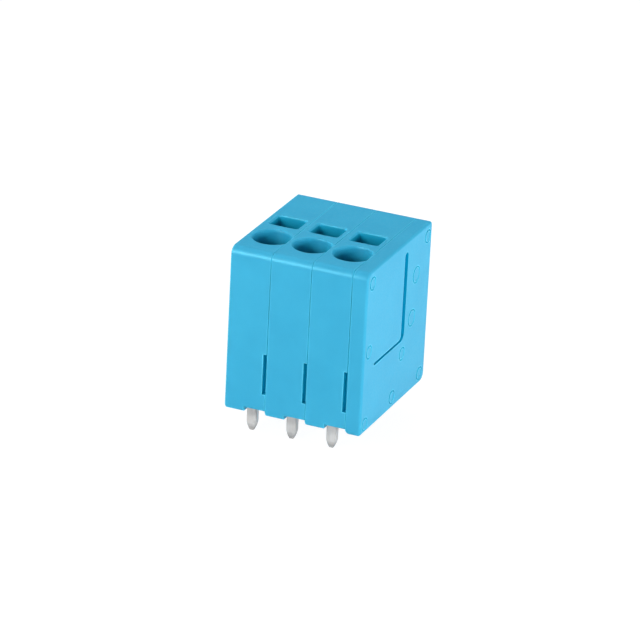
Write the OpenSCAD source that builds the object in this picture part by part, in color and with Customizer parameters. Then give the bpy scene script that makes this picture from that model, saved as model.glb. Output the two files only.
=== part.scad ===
// Modular spring-clamp terminal block for a printed board, three poles, wires entering from the top.
// Lengths are millimetres. The origin is on the board, under the middle pole's solder pin.
// X runs along the row, Y from the front face to the back, Z up from the board.

/* [Row] */
// Distance from one pole to the next
pitch = 5; // [4.8:0.01:7.62]
// Depth of the block, front face to back face
block_depth = 18.9; // [17.5:0.1:24]
// Height of the block above the board
block_height = 19.9; // [18.5:0.1:26]
// Thickness of the end plate that closes the row
plate_thickness = 1.9; // [1.5:0.1:3]

/* [Housing edges] */
// Radius of the front top edge
front_top_radius = 1; // [0.3:0.1:1.4]
// Radius of the back top edge
back_top_radius = 0.4; // [0.2:0.1:1.2]
// Radius of the front bottom edge
front_bottom_radius = 0.2; // [0.1:0.1:0.6]
// Radius of the back bottom edge
back_bottom_radius = 1; // [0.3:0.1:1.4]
// Bevel round the joint between two housings
seam_bevel = 0.06; // [0.04:0.01:0.2]
// Radius round the outer face of the end plate
plate_edge_radius = 0.3; // [0.15:0.05:0.6]

/* [Housing walls] */
// Closed side wall of each housing
side_wall = 0.7; // [0.5:0.05:1]
// Wall between the back hollow and the back face
back_wall = 1.5; // [1:0.1:2.5]
// Wall over the back hollow
top_wall = 1.5; // [1:0.1:2.5]
// Bottom wall, above the feet
bottom_wall = 0.95; // [0.6:0.05:1.5]
// Inner wall behind and under the clamp, and the ribs beside it
inner_wall = 0.9; // [0.6:0.05:1.3]
// Height of the clamp chamber, floor to roof
chamber_height = 7; // [6.4:0.1:8]
// Corner radius inside the hollows
hollow_radius = 0.5; // [0.2:0.1:1]

/* [Feet] */
// Height of the feet that hold the housing off the board
foot_height = 0.45; // [0.25:0.05:0.8]
// Right edge of the front and back foot, from the housing's left face
foot_reach = 2.4; // [1.6:0.1:3.2]
// Length of the front and back foot
foot_length = 1.6; // [1:0.1:1.9]
// Right edge of the narrow rail that joins them
rail_reach = 1.1; // [0.8:0.1:1.6]
// Width of the slant on the left corner of a foot
foot_slant = 0.2; // [0.1:0.05:0.3]
// Radius of the front wall's lower edge, beside the foot
wall_edge_radius = 0.3; // [0.1:0.05:0.5]
// Radius under the end plate, up to the housings' underside
plate_foot_radius = 0.7; // [0.45:0.05:1]

/* [Wire entry] */
// Diameter of the round wire entry
entry_diameter = 4.4; // [3.6:0.1:4.6]
// Distance of its centre from the front face
entry_from_front = 5; // [4.6:0.1:5.4]
// Depth of its straight wall
entry_depth = 2.6; // [1.5:0.1:3.2]
// Bevel round its mouth
entry_bevel = 0.25; // [0.1:0.05:0.35]
// Wall left between its flat side and the next housing
entry_flat_wall = 0.22; // [0.15:0.01:0.4]
// Length of the funnel under it
funnel_length = 0.6; // [0.3:0.1:1]
// Diameter of the throat that guides the bare wire
throat_diameter = 3; // [2.4:0.1:3.4]
// Length of the throat
throat_length = 1.7; // [1:0.1:2.2]

/* [Tool slot] */
// Left edge of the slot, from the housing's left face
slot_from_left = 0.8; // [0.7:0.05:1.2]
// Width of the slot along the row
slot_width = 3.5; // [3:0.05:3.9]
// Front edge of the slot, from the front face
slot_from_front = 8.6; // [8:0.05:9]
// Length of the slot from front to back
slot_length = 2.85; // [2.4:0.05:3.4]
// Corner radius of the slot
slot_radius = 0.25; // [0.1:0.05:0.5]
// Bevel round the mouth of the slot
slot_bevel = 0.18; // [0.05:0.01:0.25]

/* [Front slit] */
// Width of the slit beside the joint
slit_width = 0.43; // [0.3:0.01:0.6]
// Lower end of the slit above the board
slit_from_board = 2.6; // [2.2:0.1:3.2]
// Length of the slit
slit_length = 4.95; // [3:0.05:6]
// Depth of the slit
slit_depth = 0.6; // [0.3:0.05:1.2]

/* [Pegs] */
// Diameter of the pegs that join the housings
peg_diameter = 1.2; // [0.8:0.1:1.3]
// Length of the pegs
peg_length = 0.6; // [0.4:0.05:0.8]
// Distance of a peg's centre from the edges of the housing
peg_inset = 1.6; // [1.3:0.1:1.8]
// Diameter of the post that carries a peg
post_diameter = 3; // [2.2:0.1:3.4]

/* [End plate groove and marks] */
// Width of the upright leg of the groove
groove_leg_width = 1; // [0.4:0.05:1.2]
// Width of the level leg
groove_foot_width = 0.35; // [0.2:0.05:0.6]
// Depth of the groove
groove_depth = 0.55; // [0.2:0.05:0.8]
// Height of the groove's upper end above the board
groove_top = 18.6; // [16:0.1:19]
// Front end of the level leg, from the front face
groove_from_front = 3.1; // [2:0.1:5]
// Inner radius where the legs meet
groove_radius = 0.6; // [0.2:0.1:1.5]
// Diameter of the round mould marks
mark_diameter = 1.65; // [1:0.05:2]
// Diameter of the larger mark behind the groove
large_mark_diameter = 2.1; // [1.5:0.1:2.6]
// Width of the ring that outlines a mark
mark_ring_width = 0.14; // [0.08:0.01:0.3]
// Depth of the ring
mark_ring_depth = 0.12; // [0.04:0.01:0.2]

/* [Contact bar] */
// Thickness of the copper strip
bar_thickness = 0.8; // [0.6:0.05:1]
// Inner radius of its bends
bar_bend_radius = 0.4; // [0.2:0.05:0.5]
// Distance of the solder pin's centre from the front face
pin_from_front = 2.5; // [2.3:0.1:2.7]
// Width of the solder pin
pin_width = 1.3; // [0.8:0.05:1.4]
// Length of the solder pin below the board's surface
pin_length = 3.2; // [2.5:0.1:5]
// Length of the rounded taper at the pin's tip
pin_taper_length = 1.7; // [0.6:0.1:2]
// Width left at the end of the tip
pin_tip_width = 0.45; // [0.3:0.05:0.7]
// Thickness left at the end of the tip
pin_tip_thickness = 0.4; // [0.2:0.05:0.5]
// Radius of the pin's long edges
pin_edge_radius = 0.22; // [0.05:0.01:0.3]

/* [Clamp spring] */
// Thickness of the spring strip
spring_thickness = 0.4; // [0.25:0.05:0.5]
// Height of the clamping leaf below the chamber's roof
leaf_drop = 4.5; // [4:0.1:5.5]
// Width of the band that presses the wire to the bar
band_width = 1.1; // [0.7:0.1:1.5]
// Width of the two strips beside the window
strip_width = 0.55; // [0.4:0.05:0.8]
// Inner radius of the bend into the clamping leaf
leaf_bend_radius = 0.5; // [0.3:0.1:0.8]
// Gap between the spring and the wall behind it
spring_back_gap = 0.3; // [0.1:0.05:0.6]
// Gap between the spring's loop and the chamber's roof
spring_top_gap = 0.4; // [0.2:0.1:0.8]
// Gap between the spring and the walls beside it
spring_side_gap = 0.25; // [0.1:0.05:0.4]
// Gap between the spring's short leg and its leaf
spring_tip_gap = 0.4; // [0.2:0.1:0.6]

/* [Hidden] */
$fn = 64;
// Smoothness of the blended outer shells
shell_fn = 40;
// How far a cut runs past the faces that it opens
overrun = 0.5;
// Thickness of the slices that a blended shell is drawn over
slice = 0.001;
// Clearance of a metal piece that slides into its channel
slide_gap = 0.1;
// Clearance between the clamping leaf and the bar
leaf_gap = 0.05;
// Radial clearance of a peg in its socket, and the free depth past its end
peg_gap = 0.03;
peg_end_gap = 0.1;

blue = [0.30, 0.71, 0.89];
tin = [0.82, 0.82, 0.81];
steel = [0.72, 0.73, 0.74];

// The middle pole's pin stands at the origin
pin_from_left = pitch / 2;
row_left = -pitch - pin_from_left;
plate_left = row_left + 3 * pitch;

// Clamp chamber
chamber_front = pin_from_front - bar_thickness / 2 - slide_gap;
chamber_back = slot_from_front + slot_length;
chamber_roof = block_height - entry_depth - funnel_length - throat_length;
chamber_floor = chamber_roof - chamber_height;
chamber_width = pitch - side_wall;
entry_from_left = side_wall + chamber_width / 2;
entry_flat = pitch - entry_flat_wall;

// Back and lower hollows
channel_back = pin_from_front + bar_thickness / 2 + slide_gap;
guide_back = channel_back + inner_wall;
hollow_front = chamber_back + inner_wall;
hollow_back = block_depth - back_wall;
hollow_roof = block_height - top_wall;
rib_bottom = chamber_floor - inner_wall;
bottom_top = foot_height + bottom_wall;

// Strip sizes of the clamp
spring_width = chamber_width - 2 * spring_side_gap;
window_width = spring_width - 2 * strip_width;
bar_width = window_width - 2 * slide_gap;
bar_front = entry_from_front + throat_diameter / 2;
bar_back = bar_front + bar_thickness;
leaf_bottom = chamber_roof - leaf_drop;
leaf_top = leaf_bottom + spring_thickness;
loop_back = chamber_back - spring_back_gap;
loop_radius = (loop_back - bar_back) / 2;
loop_centre = chamber_roof - spring_top_gap - loop_radius;

// Groove on the end plate, in line with the inner wall
groove_back = chamber_back + inner_wall / 2;
groove_low = chamber_floor - groove_foot_width;

// Peg places, as distances from the front face and from the board
peg_spots = [
  [chamber_front / 2, foot_height + inner_wall],
  [peg_inset, block_height - peg_inset],
  [block_depth - peg_inset, foot_height + peg_inset],
  [block_depth - peg_inset, block_height - peg_inset]
];

// Round marks on the end plate, at shares of its depth and height
mark_shares = [
  [0.078, 0.922], [0.933, 0.925], [0.918, 0.065], [0.065, 0.055],
  [0.482, 0.072], [0.608, 0.3], [0.073, 0.501]
];
large_mark_shares = [[0.776, 0.738], [0.737, 0.481]];

// An outline drawn in depth and height, drawn out along the row
module along_row(width) {
  rotate([90, 0, 90]) linear_extrude(width) children();
}

// An outline drawn in row and height, drawn out from front to back
module front_to_back(length) {
  rotate([90, 0, 0]) translate([0, 0, -length]) linear_extrude(length) children();
}

// What is cut from a corner at the origin to leave it round
module corner_waste(radius) {
  difference() {
    translate([-overrun, -overrun]) square(radius + overrun);
    translate([radius, radius]) circle(radius);
  }
}

// Rectangle with one corner radius
module soft_rectangle(width, height, radius) {
  translate([radius, 0]) square([width - 2 * radius, height]);
  translate([0, radius]) square([width, height - 2 * radius]);
  for (x = [radius, width - radius], y = [radius, height - radius]) {
    translate([x, y]) circle(radius);
  }
}

// Quarter of a bent strip round the origin, in the quadrant given by its two signs
module strip_bend(inner_radius, thickness, across, up) {
  outer_radius = inner_radius + thickness;
  intersection() {
    difference() {
      circle(outer_radius);
      circle(inner_radius);
    }
    translate([across > 0 ? 0 : -outer_radius, up > 0 ? 0 : -outer_radius]) square(outer_radius);
  }
}

// Side view of the block, drawn in by an even margin
module side_outline(margin = 0) {
  low = margin;
  back = block_depth - margin;
  top = block_height - margin;
  difference() {
    translate([low, low]) square([back - low, top - low]);
    translate([low, low]) corner_waste(max(front_bottom_radius - margin, 0));
    translate([back, low]) mirror([1, 0]) corner_waste(max(back_bottom_radius - margin, 0));
    translate([low, top]) mirror([0, 1]) corner_waste(max(front_top_radius - margin, 0));
    translate([back, top]) rotate(180) corner_waste(max(back_top_radius - margin, 0));
  }
}

// Outer shell of a housing, beveled where it meets its neighbours
module housing_shell() {
  hull() {
    along_row(pitch) side_outline(seam_bevel, $fn = shell_fn);
    translate([seam_bevel, 0, 0]) along_row(pitch - 2 * seam_bevel) side_outline($fn = shell_fn);
  }
}

// Room under the housing. It leaves a foot at the front, one at the back and a rail between,
// with a slant on their left corner
module foot_room() {
  difference() {
    translate([-overrun, -overrun, -overrun])
      cube([pitch + 2 * overrun, block_depth + 2 * overrun, foot_height + overrun]);
    difference() {
      translate([0, -overrun, 0]) front_to_back(block_depth + 2 * overrun) polygon([
        [foot_slant, -2 * overrun],
        [foot_slant, 0],
        [0, foot_height],
        [0, foot_height + overrun],
        [foot_reach, foot_height + overrun],
        [foot_reach, -2 * overrun]
      ]);
      translate([rail_reach, foot_length, -2 * overrun])
        cube([pitch, block_depth - 2 * foot_length, foot_height + 4 * overrun]);
    }
  }
  // Round lower edge of the front wall, beside the foot
  translate([foot_reach, 0, foot_height]) along_row(pitch) corner_waste(wall_edge_radius);
}

// Hollows that open to the right, drawn in depth and height
module hollow_outline() {
  // Clamp chamber
  translate([chamber_front, chamber_floor])
    square([chamber_back - chamber_front, chamber_roof - chamber_floor]);
  // Channel of the bar's lower leg, with room for its bend
  translate([chamber_front, bottom_top])
    square([channel_back - chamber_front, chamber_floor - bottom_top + overrun]);
  translate([chamber_front, chamber_floor - bar_bend_radius - slide_gap])
    square([
      channel_back - chamber_front + bar_bend_radius,
      bar_bend_radius + slide_gap + overrun
    ]);
  // Lower hollows, with a rib between them in line with the chamber's back wall
  translate([guide_back, bottom_top])
    soft_rectangle(chamber_back - guide_back, rib_bottom - bottom_top, hollow_radius);
  // Hollows at the back, round the posts that carry the back pegs
  difference() {
    union() {
      translate([hollow_front, bottom_top])
        soft_rectangle(hollow_back - hollow_front, rib_bottom - bottom_top, hollow_radius);
      translate([hollow_front, chamber_floor])
        soft_rectangle(hollow_back - hollow_front, hollow_roof - chamber_floor, hollow_radius);
    }
    for (spot = peg_spots) {
      translate(spot) circle(d = post_diameter);
    }
  }
}

// Round wire entry with one flat side, funnel and throat
module wire_entry() {
  radius = entry_diameter / 2;
  funnel_top = block_height - entry_depth;
  throat_top = funnel_top - funnel_length;
  intersection() {
    translate([entry_from_left, entry_from_front, 0]) {
      translate([0, 0, funnel_top]) cylinder(r = radius, h = entry_depth + overrun);
      translate([0, 0, block_height - entry_bevel])
        cylinder(r1 = radius, r2 = radius + entry_bevel + overrun, h = entry_bevel + overrun);
      translate([0, 0, throat_top])
        cylinder(r1 = throat_diameter / 2, r2 = radius, h = funnel_length);
      translate([0, 0, chamber_roof - overrun])
        cylinder(r = throat_diameter / 2, h = throat_length + overrun);
    }
    front_to_back(block_depth) polygon([
      [0, chamber_roof - overrun],
      [entry_flat, chamber_roof - overrun],
      [entry_flat, block_height - entry_bevel],
      [entry_flat + entry_bevel + overrun, block_height + overrun],
      [0, block_height + overrun]
    ]);
  }
}

// Rectangular slot for the tool that opens the clamp
module tool_slot() {
  translate([slot_from_left, slot_from_front, chamber_roof - overrun])
    linear_extrude(block_height - chamber_roof + 2 * overrun)
    soft_rectangle(slot_width, slot_length, slot_radius);
  hull() {
    translate([slot_from_left, slot_from_front, block_height - slot_bevel])
      linear_extrude(slice)
      soft_rectangle(slot_width, slot_length, slot_radius, $fn = shell_fn);
    translate([slot_from_left - slot_bevel, slot_from_front - slot_bevel, block_height])
      linear_extrude(slice)
      soft_rectangle(
        slot_width + 2 * slot_bevel, slot_length + 2 * slot_bevel, slot_radius + slot_bevel,
        $fn = shell_fn
      );
  }
}

// Slit in the front wall, open towards the next housing
module front_slit() {
  translate([pitch - slit_width, -overrun, slit_from_board])
    cube([slit_width + overrun, slit_depth + overrun, slit_length]);
}

// Notch in the bottom wall that the solder pin slides into from the right
module pin_notch() {
  translate([pin_from_left - pin_width / 2 - slide_gap, chamber_front, -overrun])
    cube([pitch, channel_back - chamber_front, bottom_top + 2 * overrun]);
}

// Pegs on the right face, each with a beveled end
module pegs() {
  for (spot = peg_spots) {
    translate([pitch, spot[0], spot[1]]) rotate([0, 90, 0]) {
      translate([0, 0, -overrun])
        cylinder(d = peg_diameter, h = peg_length - seam_bevel + overrun);
      translate([0, 0, peg_length - seam_bevel])
        cylinder(d1 = peg_diameter, d2 = peg_diameter - 2 * seam_bevel, h = seam_bevel);
    }
  }
}

// Sockets for the pegs of the piece to the left
module peg_sockets() {
  for (spot = peg_spots) {
    translate([-overrun, spot[0], spot[1]]) rotate([0, 90, 0])
      cylinder(d = peg_diameter + 2 * peg_gap, h = peg_length + peg_end_gap + overrun);
  }
}

// One pole's moulded housing, closed on the left and open on the right
module pole_housing(pole) {
  color(blue) translate([row_left + pole * pitch, -pin_from_front, 0]) {
    difference() {
      union() {
        difference() {
          housing_shell();
          foot_room();
          translate([side_wall, 0, 0]) along_row(pitch) hollow_outline();
          wire_entry();
          tool_slot();
          front_slit();
        }
        pegs();
      }
      pin_notch();
      peg_sockets();
    }
  }
}

// L-shaped groove on the outer face of the end plate, drawn in depth and height
module groove_outline() {
  leg_front = groove_back - groove_leg_width;
  leg_end = groove_top - groove_leg_width / 2;
  foot_end = groove_from_front + groove_foot_width / 2;
  outer_radius = groove_radius + groove_foot_width;
  difference() {
    translate([foot_end, groove_low]) square([groove_back - foot_end, leg_end - groove_low]);
    translate([groove_back, groove_low]) mirror([1, 0]) corner_waste(outer_radius);
    difference() {
      translate([foot_end - overrun, groove_low + groove_foot_width])
        square([leg_front - foot_end + overrun, leg_end - groove_low]);
      translate([leg_front, groove_low + groove_foot_width]) mirror([1, 0])
        corner_waste(groove_radius);
    }
  }
  translate([leg_front + groove_leg_width / 2, leg_end]) circle(d = groove_leg_width);
  translate([foot_end, groove_low + groove_foot_width / 2]) circle(d = groove_foot_width);
}

// Outer shell of the end plate, with a round edge on its outer face
module plate_shell() {
  straight = plate_thickness - plate_edge_radius;
  hull() {
    along_row(slice) side_outline(seam_bevel, $fn = shell_fn);
    translate([seam_bevel, 0, 0]) along_row(straight - seam_bevel) side_outline($fn = shell_fn);
    for (angle = [22.5, 45, 67.5, 90]) {
      translate([straight + plate_edge_radius * sin(angle) - slice, 0, 0])
        along_row(slice)
        side_outline(plate_edge_radius * (1 - cos(angle)), $fn = shell_fn);
    }
  }
}

// Rings round the mould marks of one diameter, drawn in depth and height
module mark_rings(shares, diameter) {
  for (share = shares) {
    translate([share[0] * block_depth, share[1] * block_height]) difference() {
      circle(d = diameter);
      circle(d = diameter - 2 * mark_ring_width);
    }
  }
}

// Plate that closes the open side of the last housing
module end_plate() {
  color(blue) translate([plate_left, -pin_from_front, 0]) difference() {
    plate_shell();
    translate([0, -overrun, 0])
      front_to_back(block_depth + 2 * overrun) corner_waste(plate_foot_radius);
    peg_sockets();
    translate([plate_thickness - groove_depth, 0, 0])
      along_row(groove_depth + overrun) groove_outline();
    translate([plate_thickness - mark_ring_depth, 0, 0]) along_row(mark_ring_depth + overrun) {
      mark_rings(mark_shares, mark_diameter);
      mark_rings(large_mark_shares, large_mark_diameter);
    }
  }
}

// Pin outline with an ogive tip at the origin: straight above the taper
module pin_outline(width, tip_width, straight_length) {
  inset = (width - tip_width) / 2;
  arc_radius = (pin_taper_length * pin_taper_length + inset * inset) / (2 * inset);
  translate([-width / 2, pin_taper_length]) square([width, straight_length]);
  intersection() {
    translate([width / 2 - arc_radius, pin_taper_length]) circle(arc_radius, $fn = 200);
    translate([arc_radius - width / 2, pin_taper_length]) circle(arc_radius, $fn = 200);
    translate([-width / 2, 0]) square([width, pin_taper_length]);
  }
}

// Solder pin, with its long edges rounded and its tip tapered both ways
module solder_pin() {
  straight = bottom_top + pin_length - pin_taper_length;
  translate([0, 0, -pin_length]) intersection() {
    translate([0, -bar_thickness, 0])
      front_to_back(2 * bar_thickness) pin_outline(pin_width, pin_tip_width, straight);
    translate([-pin_width, 0, 0])
      along_row(2 * pin_width) pin_outline(bar_thickness, pin_tip_thickness, straight);
    translate([-pin_width / 2, -bar_thickness / 2, 0])
      linear_extrude(pin_length + bottom_top)
      soft_rectangle(pin_width, bar_thickness, pin_edge_radius);
  }
}

// Bent strip of the contact bar, drawn in depth and height
module bar_outline() {
  leg_front = pin_from_front - bar_thickness / 2;
  leg_back = pin_from_front + bar_thickness / 2;
  level_top = chamber_floor + bar_thickness;
  upper_bend = [bar_front - bar_bend_radius, level_top + bar_bend_radius];
  lower_bend = [leg_back + bar_bend_radius, chamber_floor - bar_bend_radius];
  // Upright that the wire is pressed against
  translate([bar_front, upper_bend[1]])
    square([bar_thickness, chamber_roof - slide_gap - upper_bend[1]]);
  translate(upper_bend) strip_bend(bar_bend_radius, bar_thickness, 1, -1);
  // Level part on the chamber's floor
  translate([lower_bend[0], chamber_floor])
    square([upper_bend[0] - lower_bend[0], bar_thickness]);
  translate(lower_bend) strip_bend(bar_bend_radius, bar_thickness, -1, 1);
  // Lower leg, down to the shoulders above the pin
  translate([leg_front, bottom_top + leaf_gap])
    square([bar_thickness, lower_bend[1] - bottom_top - leaf_gap]);
}

// Current bar and solder pin, one strip of tinned copper
module contact_bar(pole) {
  color(tin) translate([row_left + pole * pitch, -pin_from_front, 0]) {
    translate([entry_from_left - bar_width / 2, 0, 0]) along_row(bar_width) bar_outline();
    translate([pin_from_left, pin_from_front, 0]) union() {
      solder_pin();
      translate([-pin_width / 2, -bar_thickness / 2, 0])
        cube([pin_width, bar_thickness, bottom_top + bar_thickness]);
    }
  }
}

// Bent strip of the clamp spring, drawn in depth and height
module spring_outline() {
  leg_bottom = leaf_top + spring_tip_gap;
  bend = [
    loop_back - spring_thickness - leaf_bend_radius,
    leaf_top + leaf_bend_radius
  ];
  leaf_front = bar_front - leaf_gap - band_width;
  inner_radius = loop_radius - spring_thickness;
  // Short leg against the back of the bar
  translate([bar_back, leg_bottom]) square([spring_thickness, loop_centre - leg_bottom]);
  // Loop
  translate([bar_back + loop_radius, loop_centre]) {
    strip_bend(inner_radius, spring_thickness, -1, 1);
    strip_bend(inner_radius, spring_thickness, 1, 1);
  }
  // Long leg, bend and clamping leaf
  translate([loop_back - spring_thickness, bend[1]])
    square([spring_thickness, loop_centre - bend[1]]);
  translate(bend) strip_bend(leaf_bend_radius, spring_thickness, 1, -1);
  translate([leaf_front, leaf_bottom]) square([bend[0] - leaf_front, spring_thickness]);
}

// Spring whose leaf reaches round the bar and draws the wire against it
module clamp_spring(pole) {
  window_front = bar_front - leaf_gap;
  window_back = loop_back - spring_thickness - leaf_bend_radius;
  color(steel) translate([row_left + pole * pitch, -pin_from_front, 0]) difference() {
    translate([entry_from_left - spring_width / 2, 0, 0]) along_row(spring_width) spring_outline();
    translate([entry_from_left - window_width / 2, window_front, leaf_bottom - overrun / 2])
      cube([window_width, window_back - window_front, spring_thickness + overrun / 2 + leaf_gap]);
  }
}

pole_housing(0);  // pole_housing_1
pole_housing(1);  // pole_housing_2
pole_housing(2);  // pole_housing_3
end_plate();
contact_bar(0);  // contact_bar_1
contact_bar(1);  // contact_bar_2
contact_bar(2);  // contact_bar_3
clamp_spring(0);  // clamp_spring_1
clamp_spring(1);  // clamp_spring_2
clamp_spring(2);  // clamp_spring_3
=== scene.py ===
import math

import bmesh
import bpy
from mathutils import Matrix, Vector


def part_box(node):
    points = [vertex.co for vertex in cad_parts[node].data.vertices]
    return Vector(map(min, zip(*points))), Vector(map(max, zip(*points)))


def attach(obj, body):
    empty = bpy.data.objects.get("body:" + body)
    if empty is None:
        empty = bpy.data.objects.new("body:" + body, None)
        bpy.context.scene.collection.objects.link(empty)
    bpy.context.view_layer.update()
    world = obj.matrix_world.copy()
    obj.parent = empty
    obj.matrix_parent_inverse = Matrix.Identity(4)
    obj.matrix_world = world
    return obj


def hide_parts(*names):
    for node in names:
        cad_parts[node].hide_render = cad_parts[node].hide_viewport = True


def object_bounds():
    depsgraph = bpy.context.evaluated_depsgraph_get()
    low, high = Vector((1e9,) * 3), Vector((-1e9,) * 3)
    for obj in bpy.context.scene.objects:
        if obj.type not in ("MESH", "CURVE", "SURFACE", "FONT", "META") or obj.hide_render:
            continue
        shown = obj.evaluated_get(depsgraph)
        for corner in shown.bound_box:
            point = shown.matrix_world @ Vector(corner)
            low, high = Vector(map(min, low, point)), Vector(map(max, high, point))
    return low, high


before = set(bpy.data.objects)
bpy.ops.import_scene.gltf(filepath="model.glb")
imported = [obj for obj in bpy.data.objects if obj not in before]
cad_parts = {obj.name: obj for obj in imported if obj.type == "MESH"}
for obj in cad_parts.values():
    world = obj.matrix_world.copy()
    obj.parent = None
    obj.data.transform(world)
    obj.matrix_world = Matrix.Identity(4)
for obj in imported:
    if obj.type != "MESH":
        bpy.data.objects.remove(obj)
boxLow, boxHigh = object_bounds()
plateLow, plateHigh = (Vector(corner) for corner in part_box("end_plate"))
mm = 0.001
poleCount = 3
print("frame loaded,", len(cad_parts), "nodes")


# Objects and node trees

def newObject(name, data):
    made = bpy.data.objects.new(name, data)
    bpy.context.scene.collection.objects.link(made)
    return made


def addNode(tree, kind, place, **values):
    node = tree.nodes.new(kind)
    node.location = place
    for name, value in values.items():
        setattr(node, name, value)
    return node


def setInputs(node, values):
    for name, value in values.items():
        node.inputs[name].default_value = value


def newGroup(name, kind, inputs, outputs):
    group = bpy.data.node_groups.new(name, kind)
    for socketName, socketType, value in inputs:
        socket = group.interface.new_socket(socketName, in_out="INPUT", socket_type=socketType)
        if value is not None:
            socket.default_value = value
    for socketName, socketType in outputs:
        group.interface.new_socket(socketName, in_out="OUTPUT", socket_type=socketType)
    return group


def placeGroup(tree, group, place, values):
    node = addNode(tree, "ShaderNodeGroup", place, node_tree=group)
    setInputs(node, values)
    return node


def multiply(tree, first, second, place):
    product = addNode(tree, "ShaderNodeMath", place, operation="MULTIPLY")
    tree.links.new(first, product.inputs[0])
    if isinstance(second, bpy.types.NodeSocket):
        tree.links.new(second, product.inputs[1])
    else:
        product.inputs[1].default_value = second
    return product.outputs[0]


def newMaterial(name):
    material = bpy.data.materials.new(name)
    material.use_nodes = True
    tree = material.node_tree
    tree.nodes.clear()
    output = addNode(tree, "ShaderNodeOutputMaterial", (1000, 0))
    return material, tree, output


# Fine texture of a moulded or rolled surface: a broad mottle for the colour, and a height for the bump

textureSettings = {
    "noiseLow": 0.3,  # noise keeps to the middle of its range
    "noiseHigh": 0.7,
    "broadDetail": 3,
    "fineDetail": 2,
    "broadShare": 0.35,  # of the broad waves in the height
}


def surfaceTextureGroup(s):
    group = newGroup("surfaceTexture", "ShaderNodeTree", [
        ("Broad Size", "NodeSocketFloat", 3 * mm),
        ("Fine Size", "NodeSocketFloat", 0.3 * mm),
        ("Stretch", "NodeSocketVector", (1, 1, 1)),
    ], [("Mottle", "NodeSocketFloat"), ("Speckle", "NodeSocketFloat"), ("Height", "NodeSocketFloat")])
    inputs = addNode(group, "NodeGroupInput", (-900, 0))
    outputs = addNode(group, "NodeGroupOutput", (600, 0))
    coords = addNode(group, "ShaderNodeTexCoord", (-900, 300))
    stretch = addNode(group, "ShaderNodeVectorMath", (-700, 200), operation="MULTIPLY")
    group.links.new(coords.outputs["Object"], stretch.inputs[0])
    group.links.new(inputs.outputs["Stretch"], stretch.inputs[1])
    rows = [("Broad Size", s["broadDetail"], "Mottle"), ("Fine Size", s["fineDetail"], "Speckle")]
    waves = []
    for row, (size, detail, mask) in enumerate(rows):
        scale = addNode(group, "ShaderNodeMath", (-700, -200 * row), operation="DIVIDE")
        scale.inputs[0].default_value = 1
        group.links.new(inputs.outputs[size], scale.inputs[1])
        noise = addNode(group, "ShaderNodeTexNoise", (-450, -200 * row))
        noise.inputs["Detail"].default_value = detail
        group.links.new(stretch.outputs[0], noise.inputs["Vector"])
        group.links.new(scale.outputs[0], noise.inputs["Scale"])
        spread = addNode(group, "ShaderNodeMapRange", (-200, -200 * row))
        setInputs(spread, {"From Min": s["noiseLow"], "From Max": s["noiseHigh"]})
        group.links.new(noise.outputs["Fac"], spread.inputs["Value"])
        group.links.new(spread.outputs["Result"], outputs.inputs[mask])
        waves.append(spread.outputs["Result"])
    height = addNode(group, "ShaderNodeMath", (200, -200), operation="MULTIPLY_ADD")
    height.inputs[1].default_value = s["broadShare"]
    group.links.new(waves[0], height.inputs[0])
    group.links.new(waves[1], height.inputs[2])
    group.links.new(height.outputs[0], outputs.inputs["Height"])
    return group


surfaceTexture = surfaceTextureGroup(textureSettings)


# Masks for what stands proud and what lies deep, with which the materials paint highlight and shade, and
# the normal rounded over the edges

maskSettings = {
    "normalSamples": 6,
    "maskSamples": 8,
    "masks": [  # name, whether it looks inwards, and how open a spot is where the mask starts and is full
        ("Edge", True, 1.0, 0.55),
        ("Recess", False, 0.88, 0.45),
        ("Crevice", False, 0.9, 0.3),
    ],
}


def edgeMaskGroup(s):
    group = newGroup("edgeMask", "ShaderNodeTree", [
        ("Radius", "NodeSocketFloat", 0.1 * mm),
        ("Edge Reach", "NodeSocketFloat", 0.25 * mm),
        ("Recess Reach", "NodeSocketFloat", 2 * mm),
        ("Crevice Reach", "NodeSocketFloat", 0.5 * mm),
    ], [
        ("Edge", "NodeSocketFloat"), ("Recess", "NodeSocketFloat"), ("Crevice", "NodeSocketFloat"),
        ("Normal", "NodeSocketVector"),
    ])
    inputs = addNode(group, "NodeGroupInput", (-600, 0))
    outputs = addNode(group, "NodeGroupOutput", (400, 0))
    rounded = addNode(group, "ShaderNodeBevel", (-300, 200), samples=s["normalSamples"])
    group.links.new(inputs.outputs["Radius"], rounded.inputs["Radius"])
    group.links.new(rounded.outputs["Normal"], outputs.inputs["Normal"])
    for row, (name, inside, none, full) in enumerate(s["masks"]):
        nearby = addNode(
            group, "ShaderNodeAmbientOcclusion", (-300, -250 * row),
            samples=s["maskSamples"], inside=inside, only_local=inside)
        mask = addNode(group, "ShaderNodeMapRange", (0, -250 * row))
        setInputs(mask, {"From Min": none, "From Max": full})
        group.links.new(inputs.outputs[name + " Reach"], nearby.inputs["Distance"])
        group.links.new(nearby.outputs["AO"], mask.inputs["Value"])
        group.links.new(mask.outputs["Result"], outputs.inputs[name])
    return group


edgeMask = edgeMaskGroup(maskSettings)


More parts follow.
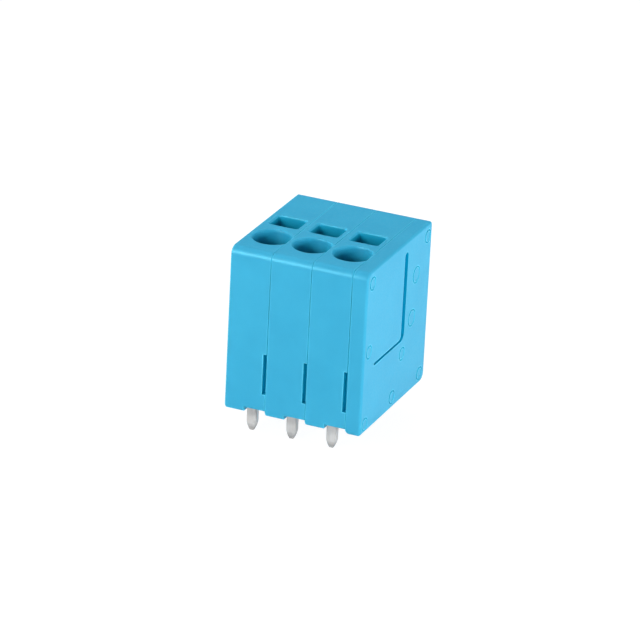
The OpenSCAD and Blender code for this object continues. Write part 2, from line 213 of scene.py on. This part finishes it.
# Ramp along the height, nothing below its floor or past its side
def heightRampGroup():
    group = newGroup("heightRamp", "ShaderNodeTree", [
        ("Start", "NodeSocketFloat", 0),
        ("End", "NodeSocketFloat", -1 * mm),
        ("Floor", "NodeSocketFloat", -1),
        ("Side", "NodeSocketFloat", 1),
    ], [("Ramp", "NodeSocketFloat")])
    inputs = addNode(group, "NodeGroupInput", (-800, 0))
    outputs = addNode(group, "NodeGroupOutput", (400, 0))
    coords = addNode(group, "ShaderNodeTexCoord", (-800, 300))
    parted = addNode(group, "ShaderNodeSeparateXYZ", (-600, 300))
    group.links.new(coords.outputs["Object"], parted.inputs["Vector"])
    slope = addNode(group, "ShaderNodeMapRange", (-400, 0))
    group.links.new(parted.outputs["Z"], slope.inputs["Value"])
    group.links.new(inputs.outputs["Start"], slope.inputs["From Min"])
    group.links.new(inputs.outputs["End"], slope.inputs["From Max"])
    ramp = slope.outputs["Result"]
    limits = [("Z", "GREATER_THAN", "Floor"), ("X", "LESS_THAN", "Side")]
    for column, (axis, test, limit) in enumerate(limits):
        within = addNode(group, "ShaderNodeMath", (-200 + 200 * column, -250), operation=test)
        group.links.new(parted.outputs[axis], within.inputs[0])
        group.links.new(inputs.outputs[limit], within.inputs[1])
        ramp = multiply(group, ramp, within.outputs[0], (-200 + 200 * column, 0))
    group.links.new(ramp, outputs.inputs["Ramp"])
    return group


heightRamp = heightRampGroup()


# Blue moulded polyamide, with a painted highlight along its edges, painted shade down the openings of the
# top, and painted light in its narrow crevices

polyamideSettings = {
    "lowColour": (0.044, 0.41, 0.665, 1),
    "highColour": (0.050, 0.44, 0.695, 1),
    "paintedLightLayers": [  # masks, share and colour
        # painted highlight: a lighter blue along the convex edges
        (["Edge"], 0.9, (0.13, 0.70, 0.96, 1)),
        # painted shade: a redless, deeper blue where the surface lies deep
        (["Recess"], 1, (0.0005, 0.43, 0.66, 1)),
        # painted shade: much darker down the openings of the top, deepening with depth
        (["Recess", "Ramp"], 1, (0.0005, 0.11, 0.19, 1)),
        # painted light: a lighter, redless blue in narrow crevices, over the painted shade there
        (["Crevice"], 0.9, (0.002, 0.5, 0.74, 1)),
    ],
    "texture": {"Broad Size": 4 * mm, "Fine Size": 0.22 * mm},
    "edge": {
        "Radius": 0.12 * mm, "Edge Reach": 0.18 * mm,
        "Recess Reach": 4 * mm, "Crevice Reach": 0.35 * mm,
    },
    "ramp": {  # its floor leaves out the front slits, and its side the end plate's groove
        "Start": boxHigh.z - 0.3 * mm, "End": boxHigh.z - 2 * mm,
        "Floor": boxHigh.z - 7.9 * mm, "Side": plateLow.x + 0.5 * mm,
    },
    "roughness": {"To Min": 0.36, "To Max": 0.48},
    "bump": {"Strength": 0.5, "Distance": 0.006 * mm},
    "shader": {"Specular IOR Level": 0.25, "Specular Tint": (0.3, 0.85, 1, 1)},
}

# Dull tin on the copper bars, with faint drawing lines along the pin, a painted highlight along its
# edges, and a painted reflection that darkens it towards its tips

tinSettings = {
    "lowColour": (0.56, 0.545, 0.53, 1),
    "highColour": (0.69, 0.675, 0.66, 1),
    "paintedLightLayers": [
        # painted highlight: a lighter tin along the edges
        (["Edge"], 0.4, (0.62, 0.62, 0.61, 1)),
        # painted reflection: darker towards the tips
        (["Ramp"], 0.8, (0.36, 0.355, 0.35, 1)),
    ],
    "texture": {"Broad Size": 0.9 * mm, "Fine Size": 0.12 * mm, "Stretch": (1, 1, 0.25)},
    "edge": {"Radius": 0.08 * mm, "Edge Reach": 0.12 * mm},
    "ramp": {"Start": boxLow.z + 0.9 * mm, "End": boxLow.z + 0.3 * mm},
    "roughness": {"To Min": 0.38, "To Max": 0.55},
    "bump": {"Strength": 0.5, "Distance": 0.004 * mm},
    "shader": {"Metallic": 0.85},
}

# Bright rolled strip of the clamps, with rolling lines across its width and a painted highlight along its
# edges

springSettings = {
    "lowColour": (0.44, 0.44, 0.44, 1),
    "highColour": (0.58, 0.58, 0.57, 1),
    # painted highlight: a lighter steel along the edges
    "paintedLightLayers": [(["Edge"], 0.5, (0.70, 0.70, 0.69, 1))],
    "texture": {"Broad Size": 1.2 * mm, "Fine Size": 0.08 * mm, "Stretch": (0.12, 1, 1)},
    "edge": {"Radius": 0.05 * mm, "Edge Reach": 0.08 * mm},
    "roughness": {"To Min": 0.22, "To Max": 0.36},
    "bump": {"Strength": 0.5, "Distance": 0.003 * mm},
    "shader": {"Metallic": 1},
}


def makeMaterial(name, s):
    material, tree, output = newMaterial(name)
    shader = addNode(tree, "ShaderNodeBsdfPrincipled", (700, 0))
    setInputs(shader, s["shader"])
    texture = placeGroup(tree, surfaceTexture, (-900, 0), s["texture"])
    edge = placeGroup(tree, edgeMask, (-900, -300), s["edge"])
    masks = {mask: edge.outputs[mask] for mask in ["Edge", "Recess", "Crevice"]}
    if "ramp" in s:
        masks["Ramp"] = placeGroup(tree, heightRamp, (-900, -600), s["ramp"]).outputs["Ramp"]
    mottled = addNode(tree, "ShaderNodeMix", (-600, 100), data_type="RGBA")
    setInputs(mottled, {"A": s["lowColour"], "B": s["highColour"]})
    tree.links.new(texture.outputs["Mottle"], mottled.inputs["Factor"])
    colour = mottled.outputs["Result"]
    for column, (maskNames, share, tint) in enumerate(s["paintedLightLayers"]):
        factor = share
        for row, mask in enumerate(maskNames):
            factor = multiply(tree, masks[mask], factor, (-400 + 250 * column, -300 + 150 * row))
        layer = addNode(tree, "ShaderNodeMix", (-300 + 250 * column, 100), data_type="RGBA")
        setInputs(layer, {"B": tint})
        tree.links.new(factor, layer.inputs["Factor"])
        tree.links.new(colour, layer.inputs["A"])
        colour = layer.outputs["Result"]
    tree.links.new(colour, shader.inputs["Base Color"])
    rough = addNode(tree, "ShaderNodeMapRange", (-400, -500))
    setInputs(rough, s["roughness"])
    tree.links.new(texture.outputs["Speckle"], rough.inputs["Value"])
    tree.links.new(rough.outputs["Result"], shader.inputs["Roughness"])
    bump = addNode(tree, "ShaderNodeBump", (-400, -800))
    setInputs(bump, s["bump"])
    tree.links.new(texture.outputs["Height"], bump.inputs["Height"])
    tree.links.new(edge.outputs["Normal"], bump.inputs["Normal"])
    tree.links.new(bump.outputs["Normal"], shader.inputs["Normal"])
    tree.links.new(shader.outputs["BSDF"], output.inputs["Surface"])
    return material


bluePolyamide = makeMaterial("bluePolyamide", polyamideSettings)
tinnedCopper = makeMaterial("tinnedCopper", tinSettings)
springSteel = makeMaterial("springSteel", springSettings)
print("materials made")


# Dressed copies of the frame's nodes: welded and evenly shaded, with soft edges on the clamps

dressSettings = {
    "weld": 0.0005 * mm,
    "flatAngle": math.radians(0.3),
    "sharpAngle": math.radians(32),
    "shadingWeight": 100,
    "edgeAngle": math.radians(60),
    "edgeWidth": 0.05 * mm,
    "edgeSegments": 2,
    "edgeProfile": 0.5,  # round
}


def plainMesh(piece):
    graph = bpy.context.evaluated_depsgraph_get()
    made = bpy.data.meshes.new_from_object(
        piece.evaluated_get(graph), preserve_all_data_layers=True, depsgraph=graph)
    piece.modifiers.clear()
    piece.data = made


def dressedCopy(nodeName, pieceName, material, s, softEdges=False):
    shape = bmesh.new()
    shape.from_mesh(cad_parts[nodeName].data)
    bmesh.ops.remove_doubles(shape, verts=shape.verts, dist=s["weld"])
    bmesh.ops.dissolve_limit(shape, angle_limit=s["flatAngle"], verts=shape.verts, edges=shape.edges)
    if softEdges:
        edges = [edge for edge in shape.edges if edge.calc_face_angle(0) > s["edgeAngle"]]
        bmesh.ops.bevel(
            shape, geom=edges, affect="EDGES", offset=s["edgeWidth"], offset_type="OFFSET",
            segments=s["edgeSegments"], profile=s["edgeProfile"], clamp_overlap=True)
    for face in shape.faces:
        face.smooth = True
        face.material_index = 0
    mesh = bpy.data.meshes.new(pieceName)
    shape.to_mesh(mesh)
    shape.free()
    mesh.set_sharp_from_angle(angle=s["sharpAngle"])
    mesh.materials.append(material)
    piece = newObject(pieceName, mesh)
    even = piece.modifiers.new("evenShading", "WEIGHTED_NORMAL")
    even.keep_sharp = True
    even.weight = s["shadingWeight"]
    plainMesh(piece)
    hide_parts(nodeName)
    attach(piece, "root")


for pole in range(1, poleCount + 1):
    dressedCopy(f"pole_housing_{pole}", f"poleHousing{pole}", bluePolyamide, dressSettings)
    dressedCopy(f"contact_bar_{pole}", f"contactBar{pole}", tinnedCopper, dressSettings)
    dressedCopy(
        f"clamp_spring_{pole}", f"clampSpring{pole}", springSteel, dressSettings,
        softEdges=True)
dressedCopy("end_plate", "endPlate", bluePolyamide, dressSettings)
print("pieces dressed")


# Fine raised rims that the moulding pins left round the marks on the end plate

rimSettings = {
    "marks": [  # shares of the plate's depth and height, and the mark's radius in mm
        (0.078, 0.922, 0.825), (0.933, 0.925, 0.825), (0.918, 0.065, 0.825), (0.065, 0.055, 0.825),
        (0.482, 0.072, 0.825), (0.608, 0.3, 0.825), (0.073, 0.501, 0.825),
        (0.776, 0.738, 1.05), (0.737, 0.481, 1.05),
    ],
    "inset": 0.15 * mm,
    "width": 0.12 * mm,
    "proud": 0.035 * mm,
    "ringPoints": 48,
    "cornerPoints": 2,
    "cornerShare": 0.45,  # of the rim's height
}


def rimTree(s):
    tree = newGroup("mouldMarkRims", "GeometryNodeTree", [
        ("Geometry", "NodeSocketGeometry", None),
        ("Rim Width", "NodeSocketFloat", 0.07 * mm),
        ("Rim Height", "NodeSocketFloat", 0.03 * mm),
        ("Ring Points", "NodeSocketInt", 48),
        ("Material", "NodeSocketMaterial", None),
    ], [("Geometry", "NodeSocketGeometry")])
    inputs = addNode(tree, "NodeGroupInput", (-900, 0))
    outputs = addNode(tree, "NodeGroupOutput", (1100, 0))
    ring = addNode(tree, "GeometryNodeCurvePrimitiveCircle", (-600, -200))
    ring.inputs["Radius"].default_value = 1
    radius = addNode(tree, "GeometryNodeInputNamedAttribute", (-600, -450), data_type="FLOAT")
    radius.inputs["Name"].default_value = "markRadius"
    placed = addNode(tree, "GeometryNodeInstanceOnPoints", (-300, 0))
    placed.inputs["Rotation"].default_value = (0, math.pi / 2, 0)
    loose = addNode(tree, "GeometryNodeRealizeInstances", (-50, 0))
    profile = addNode(tree, "GeometryNodeCurvePrimitiveQuadrilateral", (-50, -250))
    corner = addNode(tree, "GeometryNodeFilletCurve", (200, -250), mode="POLY")
    corner.inputs["Count"].default_value = s["cornerPoints"]
    body = addNode(tree, "GeometryNodeCurveToMesh", (400, 0))
    realized = addNode(tree, "GeometryNodeRealizeInstances", (650, 0))
    finish = addNode(tree, "GeometryNodeSetMaterial", (880, 0))
    links = tree.links
    links.new(inputs.outputs["Geometry"], placed.inputs["Points"])
    links.new(inputs.outputs["Ring Points"], ring.inputs["Resolution"])
    links.new(ring.outputs["Curve"], placed.inputs["Instance"])
    links.new(radius.outputs["Attribute"], placed.inputs["Scale"])
    links.new(placed.outputs["Instances"], loose.inputs["Geometry"])
    # the profile's width stands off the plate
    links.new(inputs.outputs["Rim Height"], profile.inputs["Width"])
    links.new(inputs.outputs["Rim Width"], profile.inputs["Height"])
    links.new(profile.outputs["Curve"], corner.inputs["Curve"])
    cornerRadius = multiply(tree, inputs.outputs["Rim Height"], s["cornerShare"], (-50, -500))
    links.new(cornerRadius, corner.inputs["Radius"])
    links.new(loose.outputs["Geometry"], body.inputs["Curve"])
    links.new(corner.outputs["Curve"], body.inputs["Profile Curve"])
    links.new(body.outputs["Mesh"], realized.inputs["Geometry"])
    links.new(realized.outputs["Geometry"], finish.inputs["Geometry"])
    links.new(inputs.outputs["Material"], finish.inputs["Material"])
    links.new(finish.outputs["Geometry"], outputs.inputs["Geometry"])
    return tree


def makeMarkRims(s):
    side = plateHigh - plateLow
    places = [
        (plateHigh.x, plateLow.y + depth * side.y, plateLow.z + height * side.z)
        for depth, height, radius in s["marks"]
    ]
    mesh = bpy.data.meshes.new("mouldMarkRims")
    mesh.from_pydata(places, [], [])
    sizes = mesh.attributes.new("markRadius", "FLOAT", "POINT")
    for item, (depth, height, radius) in zip(sizes.data, s["marks"]):
        item.value = radius * mm - s["inset"] - s["width"] / 2
    rims = newObject("mouldMarkRims", mesh)
    modifier = rims.modifiers.new("rims", "NODES")
    modifier.node_group = rimTree(s)
    values = {
        "Rim Width": s["width"], "Rim Height": 2 * s["proud"], "Ring Points": s["ringPoints"],
        "Material": bluePolyamide,
    }
    for item in modifier.node_group.interface.items_tree:
        if item.in_out == "INPUT" and item.name in values:
            modifier[item.identifier] = values[item.name]
    plainMesh(rims)
    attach(rims, "root")


makeMarkRims(rimSettings)
print("mould marks rimmed")


# Floor at the tips of the pins, white to the camera but for the object's shadow

floorSettings = {
    "reach": 4.0,
    "colour": (0.95, 0.95, 0.95, 1),
    "cameraShare": 0.88,
    "mirroredShare": 0.5,
    "whiteStrength": 1.08,
}


def makeFloor(s):
    corners = [(-1, -1), (1, -1), (1, 1), (-1, 1)]
    mesh = bpy.data.meshes.new("floor")
    mesh.from_pydata([(x * s["reach"], y * s["reach"], boxLow.z) for x, y in corners], [], [(0, 1, 2, 3)])
    floor = newObject("floor", mesh)
    material, tree, output = newMaterial("paleFloor")
    diffuse = addNode(tree, "ShaderNodeBsdfDiffuse", (0, 100))
    diffuse.inputs["Color"].default_value = s["colour"]
    white = addNode(tree, "ShaderNodeEmission", (0, -100))
    white.inputs["Strength"].default_value = s["whiteStrength"]
    rays = addNode(tree, "ShaderNodeLightPath", (-400, 300))
    mirrored = multiply(tree, rays.outputs["Is Glossy Ray"], s["mirroredShare"], (-200, 200))
    seen = addNode(tree, "ShaderNodeMath", (0, 300), operation="MULTIPLY_ADD")
    seen.inputs[1].default_value = s["cameraShare"]
    tree.links.new(rays.outputs["Is Camera Ray"], seen.inputs[0])
    tree.links.new(mirrored, seen.inputs[2])
    mix = addNode(tree, "ShaderNodeMixShader", (300, 0))
    tree.links.new(seen.outputs[0], mix.inputs["Fac"])
    tree.links.new(diffuse.outputs["BSDF"], mix.inputs[1])
    tree.links.new(white.outputs["Emission"], mix.inputs[2])
    tree.links.new(mix.outputs["Shader"], output.inputs["Surface"])
    mesh.materials.append(material)


# World: an even grey light, seen as white

worldSettings = {
    "colour": (1, 1, 1, 1),
    "light": 0.27,
    "mirrored": 0.12,
    "seen": 1,
}


def makeWorld(s):
    world = bpy.data.worlds.new("studio")
    world.use_nodes = True
    tree = world.node_tree
    tree.nodes.clear()
    output = addNode(tree, "ShaderNodeOutputWorld", (800, 0))
    rays = addNode(tree, "ShaderNodeLightPath", (-400, 300))
    light, mirrored, seen = (
        addNode(tree, "ShaderNodeBackground", (0, -150 * row)) for row in range(3))
    for shade, strength in [(light, s["light"]), (mirrored, s["mirrored"]), (seen, s["seen"])]:
        setInputs(shade, {"Color": s["colour"], "Strength": strength})
    shown = light.outputs["Background"]
    for column, (kind, shade) in enumerate([("Is Glossy Ray", mirrored), ("Is Camera Ray", seen)]):
        mix = addNode(tree, "ShaderNodeMixShader", (300 + 200 * column, 0))
        tree.links.new(rays.outputs[kind], mix.inputs["Fac"])
        tree.links.new(shown, mix.inputs[1])
        tree.links.new(shade.outputs["Background"], mix.inputs[2])
        shown = mix.outputs["Shader"]
    tree.links.new(shown, output.inputs["Surface"])
    bpy.context.scene.world = world


# Soft lamps, each aimed at the middle of the block

lampTarget = Vector((1.0, 6.9, 8.5)) * mm
lampSettings = {
    "frontLamp": {
        "towards": (-0.38, -0.8, 0.46), "distance": 0.2, "width": 0.1, "height": 0.05, "power": 0.179,
    },
    "rightLamp": {
        "towards": (0.965, -0.13, 0.19), "distance": 0.15, "width": 0.08, "height": 0.04, "power": 0.147,
    },
    "leftLamp": {
        "towards": (-0.75, 0, 0.66), "distance": 0.4, "width": 0.2, "height": 0.2, "power": 0.55,
    },
    "backLamp": {
        "towards": (-0.2, 0.6, 0.77), "distance": 0.12, "width": 0.06, "height": 0.06, "power": 0.042,
        "glossy": False,
    },
    "glossLamp": {
        "towards": (-0.42, -0.78, 0.46), "distance": 0.1, "width": 0.03, "height": 0.03, "power": 0.165,
        "diffuse": False,
    },
}


def makeLamps(settings):
    for name, s in settings.items():
        lamp = bpy.data.lights.new(name, "AREA")
        lamp.shape = "RECTANGLE"
        lamp.size = s["width"]
        lamp.size_y = s["height"]
        lamp.energy = s["power"]
        holder = newObject(name, lamp)
        holder.visible_diffuse = s.get("diffuse", True)
        holder.visible_glossy = s.get("glossy", True)
        direction = Vector(s["towards"]).normalized()
        holder.location = lampTarget + direction * s["distance"]
        holder.rotation_mode = "QUATERNION"
        holder.rotation_quaternion = (-direction).to_track_quat("-Z", "Y")


# Camera

cameraSettings = {
    "target": Vector((1.0, 4.5, 8.0)) * mm,
    "azimuth": math.radians(22.50),
    "elevation": math.radians(23.19),
    "roll": math.radians(2.91),
    "distance": 543.61 * mm,
    "sensor": 36,
    "lens": 266.74,
    "shift": (0.00004, 0.02593),
    "nearest": 0.01,
    "farthest": 20,
}


def makeCamera(s):
    azimuth, elevation, roll = s["azimuth"], s["elevation"], s["roll"]
    back = Vector((
        math.sin(azimuth) * math.cos(elevation),
        -math.cos(azimuth) * math.cos(elevation),
        math.sin(elevation),
    ))
    right = (-back).cross(Vector((0, 0, 1))).normalized()
    up = right.cross(-back)
    turnedRight = math.cos(roll) * right + math.sin(roll) * up
    turnedUp = math.cos(roll) * up - math.sin(roll) * right
    data = bpy.data.cameras.new("camera")
    data.sensor_width = s["sensor"]
    data.lens = s["lens"]
    data.shift_x, data.shift_y = s["shift"]
    data.clip_start = s["nearest"]
    data.clip_end = s["farthest"]
    camera = newObject("camera", data)
    axes = Matrix((turnedRight, turnedUp, back)).transposed().to_4x4()
    camera.matrix_world = Matrix.Translation(s["target"] + back * s["distance"]) @ axes
    bpy.context.scene.camera = camera


makeFloor(floorSettings)
makeWorld(worldSettings)
makeLamps(lampSettings)
makeCamera(cameraSettings)
bpy.context.scene.view_settings.view_transform = "Standard"
print("stage, lamps and camera set")
